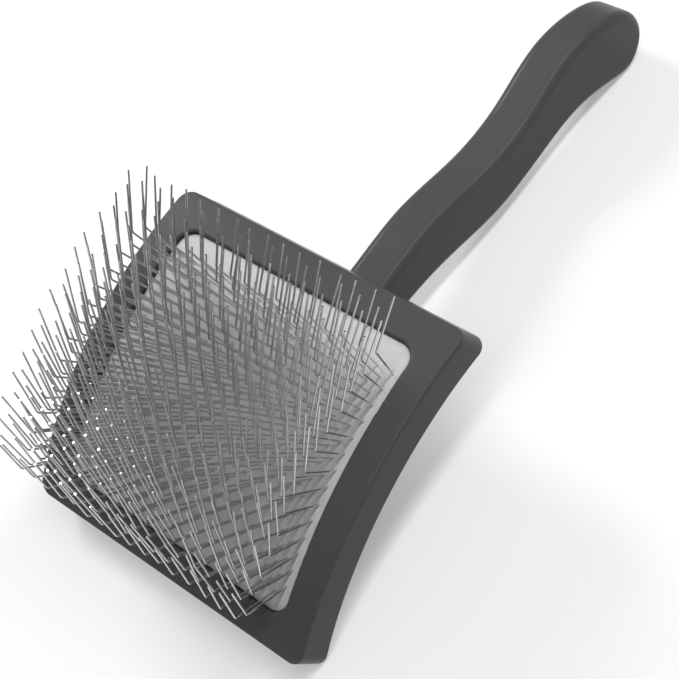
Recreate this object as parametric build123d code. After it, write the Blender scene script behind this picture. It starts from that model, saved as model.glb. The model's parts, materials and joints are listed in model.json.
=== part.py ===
"""Slicker brush with long bent pins: a bent head, a sprung pad of wire pins and an S-shaped handle.

Lengths are in millimetres and angles in degrees. Each piece is drawn in the head's own frame: X across
the head, +Y towards the handle, +Z out of the middle of the pin side, and the origin in the middle of
the rim's front face. The whole brush is then tilted and moved to lie on its back on the plane Z = 0.
"""
from build123d import *
import math
import os
import random

# head: a block bent about an axis that runs across the brush, below the head
HEAD_WIDTH = 100.0
HEAD_LENGTH = 100.0
HEAD_THICKNESS = 12.7
BEND_RADIUS = 112.0
HEAD_CORNER = 4.0
FRONT_EDGE = 0.9
BACK_EDGE = 1.0
WALL = 3.0
LIP = 3.0
RIM_SIDE = 9.0
RIM_END = 10.5
OPENING_CORNER = 5.0
MIN_CORNER = 1.0
OPENING_EDGE = 0.8

# pad: a rubber face on a cloth foundation, which the lip of the head holds down on a foam cushion
FACE_DEPTH = 1.0
FACE_CLEARANCE = 0.35
LIP_CLEARANCE = 0.15
FOUNDATION = 2.0
FLANGE = 2.4
FLANGE_CORNER = 9.5
FOAM_MARGIN = 1.0
FOAM_CLEARANCE = 0.1

# pins: rows of wire staples, each with two legs that rise, bend at a knee and lean to the handle
WIRE = 0.55
PIN_COLUMNS = 16
PIN_PITCH = 5.0
ROWS = 28
ROW_PITCH = 2.41
FIRST_ROW = -33.74
STEM = 18.5
STEM_LEAN = -4.8
TIP = 17.0
TIP_LEAN = 42.0
SPLAY = 8.6
# the wires are bent by machine but not alike, so each pin is a little off true
STEM_SWAY = 1.6
TIP_SWAY = 3.0
TIP_SPREAD = 0.5
SWAY_SEED = 7
KNEE_RADIUS = 1.5
CROWN_RADIUS = 0.7

# back cover and its screws
COVER = 3.0
COVER_GAP = 0.3
BOSS_INSET = 5.8
BOSS_RADIUS = 3.0
COVER_SCREW = 1.2
COVER_SCREW_HEAD = 2.1
COVER_SCREW_LENGTH = 8.0
PILOT_DEPTH = 0.5

# handle: a profile of constant width with rounded edges, screwed to the back of the cover
HANDLE_WIDTH = 14.4
HANDLE_EDGE = 3.0
HANDLE_TOP = [(26, -26), (48, -39), (70, -48), (92, -63.8), (111, -72.4), (132, -76.9), (149, -88.5)]
HANDLE_END = [(158.3, -105), (155.2, -116), (147, -119.6)]
HANDLE_UNDERSIDE = [
    (137, -112.4), (122, -98.8), (105, -91.2), (84, -82.2), (59, -63.8), (35, -50.5), (8, -36),
]
HANDLE_ROOT = [(-14, -26.5), (-30, -16), (-24, 2), (0, 4)]
HANDLE_SCREW = 1.75
HANDLE_SCREW_HEAD = 3.4
HANDLE_SCREW_LENGTH = 12.0
HANDLE_SCREW_ARCS = (-11.0, 5.0)
SCREW_GAP = 0.05
POINT_ROUNDING = 0.6
SLOT_LENGTH = 1.1
SLOT_WIDTH = 0.2

# how near a point of an edge has to lie to a surface to count as on it
NEAR = 0.01

# lying on its back, the brush rests on the head's far back edge and on the end of the handle
REST_TILT = 26.165

# worked out from the dimensions above
LIP_UNDERSIDE = LIP + LIP_CLEARANCE
FOUNDATION_BACK = LIP_UNDERSIDE + FOUNDATION
CROWN_DEPTH = FOUNDATION_BACK + WIRE / 2
COVER_INSIDE = HEAD_THICKNESS - COVER
HEAD_END = BEND_RADIUS * math.sin(HEAD_LENGTH / 2 / BEND_RADIUS)
OPENING_HALF_X = HEAD_WIDTH / 2 - RIM_SIDE
OPENING_HALF_Y = BEND_RADIUS * math.sin((HEAD_LENGTH / 2 - RIM_END) / BEND_RADIUS)


def on_bend(arc, depth=0.0):
    """The frame at an arc length from the middle of the head and a depth below its front face."""
    turn = Rot(-math.degrees(arc / BEND_RADIUS), 0, 0)
    return Pos(0, 0, -BEND_RADIUS) * turn * Pos(0, 0, BEND_RADIUS - depth)


def bent_slab(half_width, half_arc, top, bottom):
    """A slab that follows the bend, between two depths below the front face, with radial ends."""
    def point(depth, arc):
        angle = arc / BEND_RADIUS
        radius = BEND_RADIUS - depth
        return (radius * math.sin(angle), radius * math.cos(angle) - BEND_RADIUS)

    outline = Curve() + [
        ThreePointArc(point(top, -half_arc), point(top, 0), point(top, half_arc)),
        Line(point(top, half_arc), point(bottom, half_arc)),
        ThreePointArc(point(bottom, half_arc), point(bottom, 0), point(bottom, -half_arc)),
        Line(point(bottom, -half_arc), point(top, -half_arc)),
    ]
    return extrude(make_face(Plane.YZ * outline), amount=half_width, both=True)


def edges_at_depth(shape, depth):
    """The edges that lie on the bent surface at a depth below the front face."""
    def lies_there(edge):
        places = [edge.position_at(share) for share in (0.1, 0.5, 0.9)]
        radii = [math.hypot(place.Y, place.Z + BEND_RADIUS) for place in places]
        return all(abs(radius - (BEND_RADIUS - depth)) < NEAR for radius in radii)

    return [edge for edge in shape.edges() if lies_there(edge)]


def upright_prism(half_x, half_y, corner):
    """A rounded rectangle extruded straight along Z, through the whole head."""
    return extrude(RectangleRounded(2 * half_x, 2 * half_y, corner), amount=BEND_RADIUS / 2, both=True)


def bent_layer(half_x, half_y, corner, top, bottom):
    """A bent layer whose side walls run along Z, so that it can be pressed straight in."""
    return bent_slab(HEAD_WIDTH, HEAD_LENGTH, top, bottom) & upright_prism(half_x, half_y, corner)


def inset_layer(inset, top, bottom):
    """A bent layer whose outline is the head's own, drawn in by a distance."""
    corner = max(HEAD_CORNER - inset, MIN_CORNER)
    return bent_layer(HEAD_WIDTH / 2 - inset, HEAD_END - inset, corner, top, bottom)


def boss_places(depth):
    """The frames of the four cover screws, at a depth below the front face."""
    across = HEAD_WIDTH / 2 - BOSS_INSET
    along = HEAD_LENGTH / 2 - BOSS_INSET
    return [on_bend(y, depth) * Pos(x, 0, 0) for x in (-across, across) for y in (-along, along)]


def head_frame():
    """The bent casing: a rim with a lip over the pad, side walls and four screw bosses."""
    block = inset_layer(0, 0, HEAD_THICKNESS)
    block = fillet(edges_at_depth(block, 0), FRONT_EDGE)
    block = fillet(edges_at_depth(block, HEAD_THICKNESS), BACK_EDGE)
    block -= inset_layer(WALL, LIP, HEAD_THICKNESS + WALL)
    block -= upright_prism(OPENING_HALF_X, OPENING_HALF_Y, OPENING_CORNER)
    half_x = OPENING_HALF_X + OPENING_EDGE
    half_y = OPENING_HALF_Y + OPENING_EDGE
    rim = [edge for edge in edges_at_depth(block, 0) if abs(edge.center().X) < half_x]
    block = fillet([edge for edge in rim if abs(edge.center().Y) < half_y], OPENING_EDGE)
    height = COVER_INSIDE - LIP
    for place in boss_places(COVER_INSIDE):
        block += place * Pos(0, 0, height / 2) * Cylinder(BOSS_RADIUS, height)
        pilot = COVER_SCREW_LENGTH - COVER + PILOT_DEPTH
        block -= place * Pos(0, 0, pilot / 2) * Cylinder(COVER_SCREW + SCREW_GAP, pilot)
    return block


def countersunk_screw(shank, head, length):
    """A countersunk screw along Z whose head is flush with Z = 0 and whose point is up."""
    sink = head - shank
    cone = Pos(0, 0, sink / 2) * Cone(head, shank, sink)
    stem = Pos(0, 0, (sink + length) / 2) * Cylinder(shank, length - sink)
    screw = fillet((cone + stem).edges().sort_by(Axis.Z)[-1], shank * POINT_ROUNDING)
    length, width = head * SLOT_LENGTH, head * SLOT_WIDTH
    cross = Box(length, width, sink / 2) + Box(width, length, sink / 2)
    return screw - Pos(0, 0, sink / 4) * cross


def cover_screws():
    """Four screws through the back cover into the bosses of the head."""
    screw = countersunk_screw(COVER_SCREW, COVER_SCREW_HEAD, COVER_SCREW_LENGTH)
    return [place * screw for place in boss_places(HEAD_THICKNESS)]


def handle_screw_places(depth):
    """The frames of the handle's screws, with Z into the handle."""
    return [on_bend(arc, depth) * Rot(180, 0, 0) for arc in HANDLE_SCREW_ARCS]


def handle_screws():
    """Two screws from inside the head, through the back cover into the handle."""
    screw = countersunk_screw(HANDLE_SCREW, HANDLE_SCREW_HEAD, HANDLE_SCREW_LENGTH)
    return [place * screw for place in handle_screw_places(COVER_INSIDE)]


def screw_hole(shank, head, length):
    """The space of a countersunk screw, a little larger than the screw."""
    sink = head - shank
    cone = Pos(0, 0, sink / 2) * Cone(head + SCREW_GAP, shank + SCREW_GAP, sink)
    return cone + Pos(0, 0, (sink + length) / 2) * Cylinder(shank + SCREW_GAP, length - sink)


def back_cover():
    """A bent plate that closes the back of the head and carries the handle."""
    plate = inset_layer(WALL + COVER_GAP, COVER_INSIDE, HEAD_THICKNESS)
    for place in boss_places(HEAD_THICKNESS):
        plate -= place * screw_hole(COVER_SCREW, COVER_SCREW_HEAD, COVER_SCREW_LENGTH)
    for place in handle_screw_places(COVER_INSIDE):
        plate -= place * screw_hole(HANDLE_SCREW, HANDLE_SCREW_HEAD, HANDLE_SCREW_LENGTH)
    return plate


def handle():
    """The S-shaped handle, whose root is cut to the curve of the back cover."""
    profile = Spline(HANDLE_TOP + HANDLE_END + HANDLE_UNDERSIDE + HANDLE_ROOT, periodic=True)
    body = extrude(make_face(Plane.YZ * profile), amount=HANDLE_WIDTH / 2, both=True)
    side_edges = [edge for edge in body.edges() if abs(edge.center().X) > HANDLE_WIDTH / 2 - NEAR]
    body = fillet(side_edges, HANDLE_EDGE)
    body -= bent_slab(HANDLE_WIDTH, HEAD_LENGTH / 2, -HEAD_THICKNESS * 2, HEAD_THICKNESS)
    for place in handle_screw_places(COVER_INSIDE):
        body -= place * screw_hole(HANDLE_SCREW, HANDLE_SCREW_HEAD, HANDLE_SCREW_LENGTH + PILOT_DEPTH)
    return body


def pad_face():
    """The rubber sheet that shows in the opening."""
    half_x = OPENING_HALF_X - FACE_CLEARANCE
    half_y = OPENING_HALF_Y - FACE_CLEARANCE
    return bent_layer(half_x, half_y, OPENING_CORNER - FACE_CLEARANCE, FACE_DEPTH, LIP_UNDERSIDE)


def pad_foundation():
    """The cloth foundation that grips the staples, with a flange under the lip."""
    half_x = OPENING_HALF_X + FLANGE
    half_y = OPENING_HALF_Y + FLANGE
    return bent_layer(half_x, half_y, FLANGE_CORNER, LIP_UNDERSIDE, FOUNDATION_BACK)


def cushion_foam():
    """The foam cushion between the staples' crowns and the back cover."""
    half_x = OPENING_HALF_X + FOAM_MARGIN
    half_y = OPENING_HALF_Y + FOAM_MARGIN
    top = FOUNDATION_BACK + WIRE + FOAM_CLEARANCE
    return bent_layer(half_x, half_y, FLANGE_CORNER, top, COVER_INSIDE - FOAM_CLEARANCE)


def pin_direction(lean, splay):
    """A direction out of the pad that leans towards the handle and splays across the head."""
    lean, splay = math.radians(lean), math.radians(splay)
    return Vector(math.sin(splay), math.cos(splay) * math.sin(lean), math.cos(splay) * math.cos(lean))


def leg_points(x, chance):
    """The foot, knee and tip of one pin at a place across the head, on the row at the middle."""
    splay = SPLAY * x / (PIN_PITCH * PIN_COLUMNS / 2)
    lean_off, splay_off = (chance.uniform(-STEM_SWAY, STEM_SWAY) for _ in range(2))
    stem = pin_direction(STEM_LEAN + lean_off, splay + splay_off)
    lean_off, splay_off = (chance.uniform(-TIP_SWAY, TIP_SWAY) for _ in range(2))
    tip = pin_direction(TIP_LEAN + lean_off, splay + splay_off)
    base = Vector(x, 0, -FACE_DEPTH)
    foot = base - stem * ((CROWN_DEPTH - FACE_DEPTH) / stem.Z)
    knee = base + stem * STEM
    return foot, knee, knee + tip * (TIP + chance.uniform(-TIP_SPREAD, TIP_SPREAD))


def wire_along(edges):
    """Round wire along a chain of edges."""
    route = Wire(edges)
    return sweep(Plane(origin=route @ 0, z_dir=route % 0) * Circle(WIRE / 2), path=route)


def staple(left, right, chance):
    """One wire bent into two pins and a crown behind the foundation, as two legs and the crown's middle."""
    left_foot, left_knee, left_tip = leg_points(left, chance)
    right_foot, right_knee, right_tip = leg_points(right, chance)
    radii = [KNEE_RADIUS, CROWN_RADIUS, CROWN_RADIUS, KNEE_RADIUS]
    route = FilletPolyline(left_tip, left_knee, left_foot, right_foot, right_knee, right_tip, radius=radii)
    edges = route.edges().sort_by(route.wire())
    crown = len(edges) // 2
    return [wire_along(edges[:crown]), wire_along(edges[crown:crown + 1]), wire_along(edges[crown + 1:])]


def staple_row(shift, chance):
    """A row of staples on the middle line of the head, moved sideways by a part of the pitch."""
    first = -PIN_PITCH * (PIN_COLUMNS - 1) / 2 + shift
    lefts = [first + PIN_PITCH * 2 * k for k in range(PIN_COLUMNS // 2)]
    return [wire for left in lefts for wire in staple(left, left + PIN_PITCH, chance)]


def pin_rows():
    """The rows of staples, turned round the bend, with every other row staggered by half a pitch."""
    chance = random.Random(SWAY_SEED)
    shifts = (-PIN_PITCH / 4, PIN_PITCH / 4)
    rows = {}
    for number in range(ROWS):
        turn = on_bend(FIRST_ROW + number * ROW_PITCH)
        row = staple_row(shifts[number % 2], chance)
        rows[f"pin_row_{number + 1:02d}"] = [turn * wire for wire in row]
    return rows


def to_rest(nodes):
    """Tilts the brush on to its back and puts the bottom centre of its box at the origin."""
    tilted = {name: [Rot(REST_TILT, 0, 0) * solid for solid in solids] for name, solids in nodes.items()}
    box = Compound(children=[Compound(solids) for solids in tilted.values()]).bounding_box()
    move = Pos(-box.center().X, -box.center().Y, -box.min.Z)
    return {name: [move * solid for solid in solids] for name, solids in tilted.items()}


def solids_of(shape):
    """The separate solids of a piece, or of a list of alike pieces."""
    shapes = shape if isinstance(shape, list) else [shape]
    return [solid for item in shapes for solid in item.solids()]


def build():
    """All the nodes in the head's own frame."""
    pieces = {
        "head_frame": head_frame(),
        "back_cover": back_cover(),
        "cover_screws": cover_screws(),
        "handle": handle(),
        "handle_screws": handle_screws(),
        "cushion_foam": cushion_foam(),
        "pad_foundation": pad_foundation(),
        "pad_face": pad_face(),
    }
    pieces.update(pin_rows())
    return {name: solids_of(shape) for name, shape in pieces.items()}


def write(nodes):
    """One STEP file for each node."""
    os.makedirs("parts", exist_ok=True)
    for name, solids in nodes.items():
        export_step(solids[0] if len(solids) == 1 else Compound(solids), f"parts/{name}.step")


NODES = to_rest(build())
write(NODES)
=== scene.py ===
"""Looks of a slicker brush: pad, foam, materials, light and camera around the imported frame.

Lengths are in metres. The head's own frame has X across the head, +Y towards the handle, +Z out of the
middle of the pin side, and its origin in the middle of the rim's front face.
"""
import json
import math
import bmesh
import bpy
from mathutils import Matrix, Vector


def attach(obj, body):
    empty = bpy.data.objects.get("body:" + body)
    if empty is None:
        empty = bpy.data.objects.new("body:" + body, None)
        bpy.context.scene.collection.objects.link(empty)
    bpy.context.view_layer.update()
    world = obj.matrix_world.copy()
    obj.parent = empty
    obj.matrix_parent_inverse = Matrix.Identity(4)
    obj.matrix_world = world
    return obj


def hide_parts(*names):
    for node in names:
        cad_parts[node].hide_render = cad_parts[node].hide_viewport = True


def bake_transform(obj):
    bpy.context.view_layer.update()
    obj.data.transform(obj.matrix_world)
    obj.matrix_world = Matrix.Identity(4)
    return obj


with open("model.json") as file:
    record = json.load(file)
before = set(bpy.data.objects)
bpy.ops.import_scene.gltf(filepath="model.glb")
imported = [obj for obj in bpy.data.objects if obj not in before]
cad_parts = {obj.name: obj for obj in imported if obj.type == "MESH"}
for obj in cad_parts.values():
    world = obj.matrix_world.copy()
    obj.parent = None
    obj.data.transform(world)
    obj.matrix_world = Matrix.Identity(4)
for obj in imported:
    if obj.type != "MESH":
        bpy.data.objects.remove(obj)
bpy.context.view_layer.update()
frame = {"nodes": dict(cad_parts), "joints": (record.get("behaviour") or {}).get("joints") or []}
NODES = frame["nodes"]
PRESS = frame["joints"][0]

# the bend of the head, which the pad and the foam follow
BEND_RADIUS = 0.112

# pad face: a rubber sheet that is drawn down round its edge and dimpled round each pin
PAD_CORNER = 0.0047
PAD_DEPTH = 0.001
PAD_BACK = 0.00315
PAD_CROWN = 0.0006
PAD_EDGE_DROP = 0.0005
PAD_EDGE_WIDTH = 0.0038
PIN_PITCH = 0.005
PIN_COLUMNS = 16
ROW_PITCH = 0.00241
ROWS = 28
FIRST_ROW = -0.03374
DIMPLE_DEPTH = 0.0003
DIMPLE_RADIUS = 0.00095
STEPS_PER_PITCH = 12
STEPS_PER_ROW = 6

# foam cushion under the pad
FOAM_CORNER = 0.0095
FOAM_STEP = 0.002
FOAM_SOFT_EDGE = 0.004
FOAM_EDGE_DROP = 0.0007

# an edge of a soft piece stays sharp from this many degrees up
SHARP_ANGLE = 50.0

# studio light
CEILING_GLOW = 0.55
WALL_GLOW = 0.02
FLOOR_GLOW = 0.34
STAGE_REACH = 3.0
BACKDROP_GLOW = 0.6
STRIP_PLACE = (0.25, 0.1, 0.95)
STRIP_SIZE = (0.11, 1.6)
STRIP_POWER = 12.0
LEFT_PLACE = (-0.85, 0.1, 0.75)
LEFT_SIZE = (0.35, 0.35)
LEFT_POWER = 9.0

# camera, in the head's own frame
CAMERA_PLACE = (0.21922, 0.05959, 0.34112)
CAMERA_VIEW = (-0.4965, -0.0695, -0.8652)
CAMERA_UP = (-0.4176, 0.8930, 0.1679)
CAMERA_LENS = 81.9
CAMERA_SENSOR = 36.0
CAMERA_CLIP_START = 0.01


def head_matrix():
    """The head's own frame in the row frame, from the pad's axis and the head's mesh."""
    axis = Vector(PRESS["axis"])
    tilt = Matrix.Rotation(math.atan2(-axis.y, axis.z), 4, "X")
    turned = [tilt.inverted() @ vertex.co for vertex in NODES["head_frame"].data.vertices]
    ys = [point.y for point in turned]
    top = max(point.z for point in turned)
    return tilt @ Matrix.Translation((0.0, (min(ys) + max(ys)) / 2, top))


HEAD = head_matrix()
TO_HEAD = HEAD.inverted()


def on_bend(x, y, depth):
    """A point of the bent head, at a place across and along and a depth below its front face."""
    radius = BEND_RADIUS - depth
    return HEAD @ Vector((x, y, math.sqrt(radius * radius - y * y) - BEND_RADIUS))


def depth_of(point):
    """How deep a point lies below the head's bent front face."""
    place = TO_HEAD @ point
    return BEND_RADIUS - math.hypot(place.y, place.z + BEND_RADIUS)


def head_extent(node):
    """The lowest and highest corner of a node in the head's own frame."""
    points = [TO_HEAD @ vertex.co for vertex in NODES[node].data.vertices]
    low = Vector([min(point[k] for point in points) for k in range(3)])
    high = Vector([max(point[k] for point in points) for k in range(3)])
    return low, high


def to_outline(x, y, half_x, half_y, corner):
    """The distance inside a rounded rectangle, and the place itself or else the outline's nearest."""
    over_x = abs(x) - (half_x - corner)
    over_y = abs(y) - (half_y - corner)
    reach = math.hypot(max(over_x, 0.0), max(over_y, 0.0))
    inside = corner - reach - min(max(over_x, over_y), 0.0)
    if inside > 0:
        return inside, x, y
    near_x = min(abs(x), half_x - corner) + max(over_x, 0.0) * corner / reach
    near_y = min(abs(y), half_y - corner) + max(over_y, 0.0) * corner / reach
    return 0.0, math.copysign(near_x, x), math.copysign(near_y, y)


def outline_grid(half_x, half_y, corner, step_x, step_y):
    """A grid cut to a rounded rectangle: its points, as distance inside and place, and its cells."""
    count_x = math.ceil(half_x / step_x)
    count_y = math.ceil(half_y / step_y)
    columns = range(-count_x, count_x + 1)
    lines = range(-count_y, count_y + 1)
    places = {}
    for i in columns:
        for j in lines:
            places[i, j] = to_outline(i * step_x, j * step_y, half_x, half_y, corner)
    cells = []
    for i in columns[:-1]:
        for j in lines[:-1]:
            ring = [(i, j), (i + 1, j), (i + 1, j + 1), (i, j + 1)]
            if any(places[key][0] > 0 for key in ring):
                cells.append(ring)
    used = sorted({key for ring in cells for key in ring})
    number = {key: index for index, key in enumerate(used)}
    return [places[key] for key in used], [[number[key] for key in ring] for ring in cells]


def shell_faces(cells, count):
    """The faces of a top, of a back whose points are numbered a count higher, and of the wall between."""
    edges = dict.fromkeys(edge for cell in cells for edge in zip(cell, cell[1:] + cell[:1]))
    rim = [(start, end) for start, end in edges if (end, start) not in edges]
    backs = [[index + count for index in reversed(cell)] for cell in cells]
    walls = [[end, start, start + count, end + count] for start, end in rim]
    return cells + backs + walls


def new_object(name, data):
    """Puts a mesh, lamp or camera in the scene as an object."""
    thing = bpy.data.objects.new(name, data)
    bpy.context.scene.collection.objects.link(thing)
    return thing


def cushion(name, outline, steps, top, back):
    """A closed bent cushion: a grid cut to a rounded outline, with a top, a back and a side wall."""
    places, cells = outline_grid(*outline, *steps)
    points = [on_bend(x, y, top(x, y, inside)) for inside, x, y in places]
    points += [on_bend(x, y, back(x, y, inside)) for inside, x, y in places]
    mesh = bpy.data.meshes.new(name)
    mesh.from_pydata(points, [], shell_faces(cells, len(places)))
    mesh.validate()
    mesh.shade_smooth()
    mesh.set_sharp_from_angle(angle=math.radians(SHARP_ANGLE))
    return new_object(name, mesh)


def smooth_step(value):
    """A smooth rise from 0 at 0 to 1 at 1, flat beyond both."""
    share = min(max(value, 0.0), 1.0)
    return share * share * (3 - 2 * share)


def pin_distance(x, arc):
    """The distance along the pad to the nearest pin."""
    row = min(max(round((arc - FIRST_ROW) / ROW_PITCH), 0), ROWS - 1)
    shift = PIN_PITCH / 4 * (-1 if row % 2 == 0 else 1)
    half = (PIN_COLUMNS - 1) / 2
    column = min(max(round((x - shift) / PIN_PITCH + half), 0), PIN_COLUMNS - 1)
    return math.hypot(x - shift - (column - half) * PIN_PITCH, arc - FIRST_ROW - row * ROW_PITCH)


def make_pad_face():
    """The rubber sheet in the opening, crowned, drawn down round its edge and dimpled at each pin."""
    high = head_extent("pad_face")[1]

    def top(x, y, inside):
        crown = PAD_CROWN * (1 - (x / high.x) ** 2) * (1 - (y / high.y) ** 2)
        drop = PAD_EDGE_DROP * max(1 - inside / PAD_EDGE_WIDTH, 0.0) ** 2
        arc = BEND_RADIUS * math.asin(y / BEND_RADIUS)
        dimple = DIMPLE_DEPTH * (1 - smooth_step(pin_distance(x, arc) / DIMPLE_RADIUS))
        return PAD_DEPTH - crown + drop + dimple

    def back(x, y, inside):
        return PAD_BACK

    steps = PIN_PITCH / STEPS_PER_PITCH, ROW_PITCH / STEPS_PER_ROW
    piece = cushion("pad_face_skin", (high.x, high.y, PAD_CORNER), steps, top, back)
    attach(piece, "pad")
    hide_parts("pad_face")
    return piece


def make_foam():
    """The open-cell cushion behind the pad.

    It is laid flat by its depth below the bent face, and then bent again.
    """
    low, high = head_extent("cushion_foam")
    front = -high.z
    back_depth = BEND_RADIUS - math.hypot(high.y, low.z + BEND_RADIUS)

    def soft(inside):
        return FOAM_EDGE_DROP * max(1 - inside / FOAM_SOFT_EDGE, 0.0) ** 2

    def top(x, y, inside):
        return front + soft(inside)

    def back(x, y, inside):
        return back_depth - soft(inside)

    outline = high.x, high.y, FOAM_CORNER
    piece = cushion("cushion_foam_block", outline, (FOAM_STEP, FOAM_STEP), top, back)
    bent = [vertex.co.copy() for vertex in piece.data.vertices]
    for vertex in piece.data.vertices:
        vertex.co = (vertex.co.x, 0.0, -depth_of(vertex.co))
    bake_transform(piece)
    for vertex, place in zip(piece.data.vertices, bent):
        vertex.co = place
    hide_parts("cushion_foam")
    return piece


def new_material(name):
    """An empty material, its node tree and its shader."""
    material = bpy.data.materials.new(name)
    material.use_nodes = True
    return material, material.node_tree, material.node_tree.nodes["Principled BSDF"]


def feed(tree, socket, value):
    """Links an output to a socket, or sets the socket to a value."""
    if isinstance(value, bpy.types.NodeSocket):
        tree.links.new(value, socket)
    elif socket.type == "RGBA":
        socket.default_value = (*value, 1.0)
    else:
        socket.default_value = value


def add(tree, kind, inputs, **settings):
    """A node whose inputs are values or the outputs of other nodes."""
    node = tree.nodes.new(kind)
    for name, value in settings.items():
        setattr(node, name, value)
    for name, value in inputs.items():
        feed(tree, node.inputs[name], value)
    return node


def place_of(tree):
    """The place in the piece's own coordinates, in metres."""
    return add(tree, "ShaderNodeTexCoord", {}).outputs["Object"]


def noise_of(tree, scale, detail=2.0, stretch=(1.0, 1.0, 1.0)):
    """Soft noise from 0 to 1, stretched along the axes."""
    place = add(tree, "ShaderNodeMapping", {"Vector": place_of(tree), "Scale": stretch}).outputs[0]
    return add(tree, "ShaderNodeTexNoise", {"Vector": place, "Scale": scale, "Detail": detail}).outputs["Fac"]


def ranged(tree, value, low, high, start=0.3, end=0.7):
    """A value spread from low to high as it goes from start to end."""
    inputs = {"Value": value, "From Min": start, "From Max": end, "To Min": low, "To Max": high}
    return add(tree, "ShaderNodeMapRange", inputs).outputs["Result"]


def mixed(tree, share, first, second):
    """A colour between two others, by the numbers of a Mix node's colour sockets."""
    return add(tree, "ShaderNodeMix", {0: share, 6: first, 7: second}, data_type="RGBA").outputs[2]


def summed(tree, first, second, weight):
    """The first value plus the second times a weight."""
    inputs = {0: second, 1: weight, 2: first}
    return add(tree, "ShaderNodeMath", inputs, operation="MULTIPLY_ADD").outputs[0]


def bumped(tree, shader, height, distance, strength):
    """Puts a bump on the shader."""
    inputs = {"Height": height, "Distance": distance, "Strength": strength}
    bump = add(tree, "ShaderNodeBump", inputs)
    tree.links.new(bump.outputs["Normal"], shader.inputs["Normal"])


def rounded_edges(tree, radius):
    """1 on rounded outer edges and 0 on flat faces."""
    bevel = add(tree, "ShaderNodeBevel", {"Radius": radius}, samples=4).outputs["Normal"]
    normal = add(tree, "ShaderNodeNewGeometry", {}).outputs["Normal"]
    dot = add(tree, "ShaderNodeVectorMath", {0: bevel, 1: normal}, operation="DOT_PRODUCT").outputs["Value"]
    return ranged(tree, dot, 1.0, 0.0, 0.9, 0.995)


def coated_plastic():
    """Soft-touch charcoal coating: fine grain, faint mottling, a little polish on the edges, and edges
    lightened by wear and a painted highlight.
    """
    material, tree, shader = new_material("coated_plastic")
    mottle = noise_of(tree, 22.0, 4.0)
    grain = noise_of(tree, 3200.0, 3.0)
    smear = noise_of(tree, 60.0, 5.0, (1.0, 0.35, 1.0))
    base = mixed(tree, ranged(tree, mottle, 0.0, 1.0), (0.042, 0.042, 0.043), (0.051, 0.050, 0.051))
    base = mixed(tree, ranged(tree, grain, 0.0, 0.45), base, (0.070, 0.069, 0.070))
    # the lighter colour on the rounded edges is partly wear and partly a painted highlight along the ridges
    worn = add(tree, "ShaderNodeMath", {0: rounded_edges(tree, 0.0006), 1: smear}, operation="MULTIPLY").outputs[0]
    base = mixed(tree, ranged(tree, worn, 0.0, 0.5, 0.2, 0.8), base, (0.16, 0.158, 0.156))
    tree.links.new(base, shader.inputs["Base Color"])
    shader.inputs["IOR"].default_value = 1.16
    rough = ranged(tree, smear, 0.26, 0.34)
    tree.links.new(summed(tree, rough, worn, -0.06), shader.inputs["Roughness"])
    bumped(tree, shader, summed(tree, grain, mottle, 0.5), 0.00003, 0.3)
    return material


def pad_rubber():
    """Matt pale grey rubber with a fine mottled skin and faint streaks."""
    material, tree, shader = new_material("pad_rubber")
    fine = noise_of(tree, 2600.0, 4.0)
    mottle = noise_of(tree, 420.0, 3.0)
    streak = noise_of(tree, 90.0, 4.0, (0.25, 1.0, 1.0))
    base = mixed(tree, ranged(tree, mottle, 0.0, 1.0), (0.31, 0.315, 0.32), (0.375, 0.38, 0.385))
    base = mixed(tree, ranged(tree, fine, 0.0, 0.35), base, (0.26, 0.265, 0.27))
    base = mixed(tree, ranged(tree, streak, 0.0, 0.3), base, (0.41, 0.415, 0.42))
    tree.links.new(base, shader.inputs["Base Color"])
    tree.links.new(ranged(tree, mottle, 0.62, 0.82), shader.inputs["Roughness"])
    bumped(tree, shader, summed(tree, fine, mottle, 0.8), 0.00012, 0.5)
    return material


def pin_steel():
    """Plated steel wire: fine drawing lines and patches of duller metal."""
    material, tree, shader = new_material("pin_steel")
    dull = noise_of(tree, 260.0, 3.0)
    lines = noise_of(tree, 5200.0, 2.0, (1.0, 0.2, 0.2))
    base = mixed(tree, ranged(tree, dull, 0.0, 1.0), (0.50, 0.50, 0.505), (0.68, 0.68, 0.685))
    tree.links.new(base, shader.inputs["Base Color"])
    tree.links.new(ranged(tree, dull, 0.24, 0.14), shader.inputs["Roughness"])
    shader.inputs["Metallic"].default_value = 1.0
    bumped(tree, shader, lines, 0.00001, 0.3)
    return material


def screw_steel():
    """Zinc-plated steel, brighter on the worn edges of the recess."""
    material, tree, shader = new_material("screw_steel")
    plate = noise_of(tree, 900.0, 4.0)
    worn = rounded_edges(tree, 0.0002)
    base = mixed(tree, ranged(tree, plate, 0.0, 1.0), (0.40, 0.40, 0.39), (0.52, 0.52, 0.50))
    base = mixed(tree, ranged(tree, worn, 0.0, 0.6, 0.0, 1.0), base, (0.72, 0.72, 0.70))
    tree.links.new(base, shader.inputs["Base Color"])
    tree.links.new(ranged(tree, plate, 0.28, 0.46), shader.inputs["Roughness"])
    shader.inputs["Metallic"].default_value = 1.0
    bumped(tree, shader, plate, 0.00003, 0.3)
    return material


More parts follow.
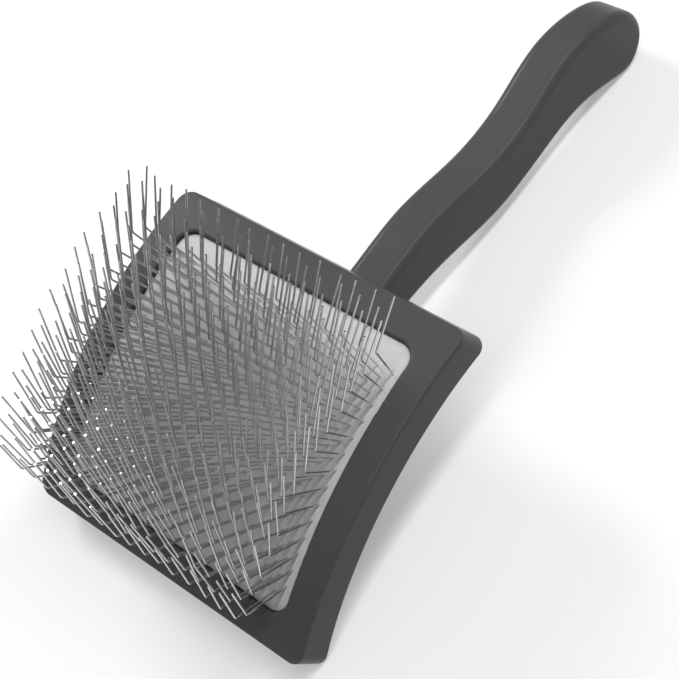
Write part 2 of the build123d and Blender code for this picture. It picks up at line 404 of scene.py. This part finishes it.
def foundation_cloth():
    """Rubbered cotton in a plain weave."""
    material, tree, shader = new_material("foundation_cloth")
    place = place_of(tree)
    threads = []
    for direction in ("X", "Y"):
        inputs = {"Vector": place, "Scale": 420.0, "Distortion": 0.6, "Detail": 1.0}
        wave = add(tree, "ShaderNodeTexWave", inputs, bands_direction=direction)
        threads.append(wave.outputs["Fac"])
    weave = add(tree, "ShaderNodeMath", {0: threads[0], 1: threads[1]}, operation="MAXIMUM").outputs[0]
    stain = noise_of(tree, 150.0, 3.0)
    base = mixed(tree, weave, (0.20, 0.185, 0.165), (0.36, 0.34, 0.30))
    base = mixed(tree, ranged(tree, stain, 0.0, 0.3), base, (0.26, 0.24, 0.21))
    tree.links.new(base, shader.inputs["Base Color"])
    tree.links.new(ranged(tree, stain, 0.8, 0.95), shader.inputs["Roughness"])
    bumped(tree, shader, weave, 0.0002, 0.6)
    return material


def open_foam():
    """Grey open-cell foam with small pores, painted darker in their dents as shade."""
    material, tree, shader = new_material("open_foam")
    pores = add(tree, "ShaderNodeTexVoronoi", {"Vector": place_of(tree), "Scale": 1400.0}).outputs["Distance"]
    shade = noise_of(tree, 200.0, 3.0)
    # the darker grey where the pores dent in is painted shade
    base = mixed(tree, ranged(tree, pores, 0.0, 1.0, 0.1, 0.6), (0.30, 0.30, 0.31), (0.12, 0.12, 0.125))
    base = mixed(tree, ranged(tree, shade, 0.0, 0.3), base, (0.36, 0.35, 0.32))
    tree.links.new(base, shader.inputs["Base Color"])
    tree.links.new(ranged(tree, shade, 0.85, 0.97), shader.inputs["Roughness"])
    bumped(tree, shader, pores, -0.0004, 0.7)
    return material


def dress(piece, material):
    """Gives every slot of a piece one material."""
    slots = piece.data.materials
    if not slots:
        slots.append(material)
    for index in range(len(slots)):
        slots[index] = material


def dress_all(pad_skin, foam_block):
    """Gives each piece and each CAD node its material."""
    plastic, steel, plated = coated_plastic(), pin_steel(), screw_steel()
    for name, node in NODES.items():
        if name in ("head_frame", "back_cover", "handle"):
            dress(node, plastic)
        elif name.startswith("pin_row"):
            dress(node, steel)
        elif name.endswith("screws"):
            dress(node, plated)
        elif name == "pad_foundation":
            dress(node, foundation_cloth())
    dress(pad_skin, pad_rubber())
    dress(foam_block, open_foam())


def make_floor():
    """A plain pale floor under the brush."""
    mesh = bpy.data.meshes.new("floor")
    signs = ((-1, -1), (1, -1), (1, 1), (-1, 1))
    mesh.from_pydata([(x * STAGE_REACH, y * STAGE_REACH, 0.0) for x, y in signs], [], [[0, 1, 2, 3]])
    floor = new_object("floor", mesh)
    material, tree, shader = new_material("pale_floor")
    tint = noise_of(tree, 6.0)
    base = mixed(tree, ranged(tree, tint, 0.0, 1.0), (0.42, 0.42, 0.42), (0.44, 0.44, 0.44))
    tree.links.new(base, shader.inputs["Base Color"])
    shader.inputs["Roughness"].default_value = 0.9
    shader.inputs["Specular IOR Level"].default_value = 0.0
    shader.inputs["Emission Color"].default_value = (1.0, 1.0, 1.0, 1.0)
    shader.inputs["Emission Strength"].default_value = FLOOR_GLOW
    dress(floor, material)


def make_backdrop():
    """A plain pale dome round the stage, which is only looked at and lights nothing."""
    dome = bmesh.new()
    bmesh.ops.create_uvsphere(dome, u_segments=64, v_segments=32, radius=STAGE_REACH)
    mesh = bpy.data.meshes.new("backdrop")
    dome.to_mesh(mesh)
    dome.free()
    backdrop = new_object("backdrop", mesh)
    material, tree, shader = new_material("pale_backdrop")
    shader.inputs["Base Color"].default_value = (0.0, 0.0, 0.0, 1.0)
    shader.inputs["Specular IOR Level"].default_value = 0.0
    tint = noise_of(tree, 2.0)
    glow = mixed(tree, ranged(tree, tint, 0.0, 1.0), (0.98, 0.98, 0.98), (1.0, 1.0, 1.0))
    tree.links.new(glow, shader.inputs["Emission Color"])
    shader.inputs["Emission Strength"].default_value = BACKDROP_GLOW
    dress(backdrop, material)
    backdrop.visible_diffuse = False
    backdrop.visible_glossy = False
    backdrop.visible_transmission = False
    backdrop.visible_shadow = False


def make_lamp(name, place, aim, size, power):
    """A soft box that points at a place, with its length along the brush."""
    lamp = bpy.data.lights.new(name, "AREA")
    lamp.shape = "RECTANGLE"
    lamp.size, lamp.size_y = size
    lamp.energy = power
    back = (Vector(place) - aim).normalized()
    side = Vector((0.0, 1.0, 0.0)).cross(back).normalized()
    turn = Matrix((side, back.cross(side), back)).transposed().to_4x4()
    new_object(name, lamp).matrix_world = Matrix.Translation(place) @ turn


def make_room():
    """A room with a pale ceiling that fades down its walls, for soft light and reflections."""
    world = bpy.data.worlds.new("studio")
    world.use_nodes = True
    tree = world.node_tree
    backdrop = tree.nodes["Background"]
    backdrop.inputs["Color"].default_value = (1.0, 1.0, 1.0, 1.0)
    direction = add(tree, "ShaderNodeTexCoord", {}).outputs["Generated"]
    height = add(tree, "ShaderNodeSeparateXYZ", {0: direction}).outputs["Z"]
    tree.links.new(ranged(tree, height, WALL_GLOW, CEILING_GLOW, 0.0, 1.0), backdrop.inputs["Strength"])
    bpy.context.scene.world = world


def make_lamps():
    """Studio lamps: a long strip overhead and a soft box on the left."""
    middle = HEAD.translation
    make_lamp("strip", STRIP_PLACE, middle, STRIP_SIZE, STRIP_POWER)
    make_lamp("left", LEFT_PLACE, middle, LEFT_SIZE, LEFT_POWER)


def make_camera():
    """The camera that sees the brush from above its right side, rolled to set the handle at the top."""
    view = Vector(CAMERA_VIEW).normalized()
    right = view.cross(Vector(CAMERA_UP)).normalized()
    up = right.cross(view)
    turn = Matrix((right, up, -view)).transposed().to_4x4()
    camera = bpy.data.cameras.new("camera")
    camera.sensor_width = CAMERA_SENSOR
    camera.lens = CAMERA_LENS
    camera.clip_start = CAMERA_CLIP_START
    holder = new_object("camera", camera)
    holder.matrix_world = HEAD @ Matrix.Translation(CAMERA_PLACE) @ turn
    bpy.context.scene.camera = holder


dress_all(make_pad_face(), make_foam())
make_floor()
make_backdrop()
make_room()
make_lamps()
make_camera()
bpy.context.scene.view_settings.view_transform = "Standard"
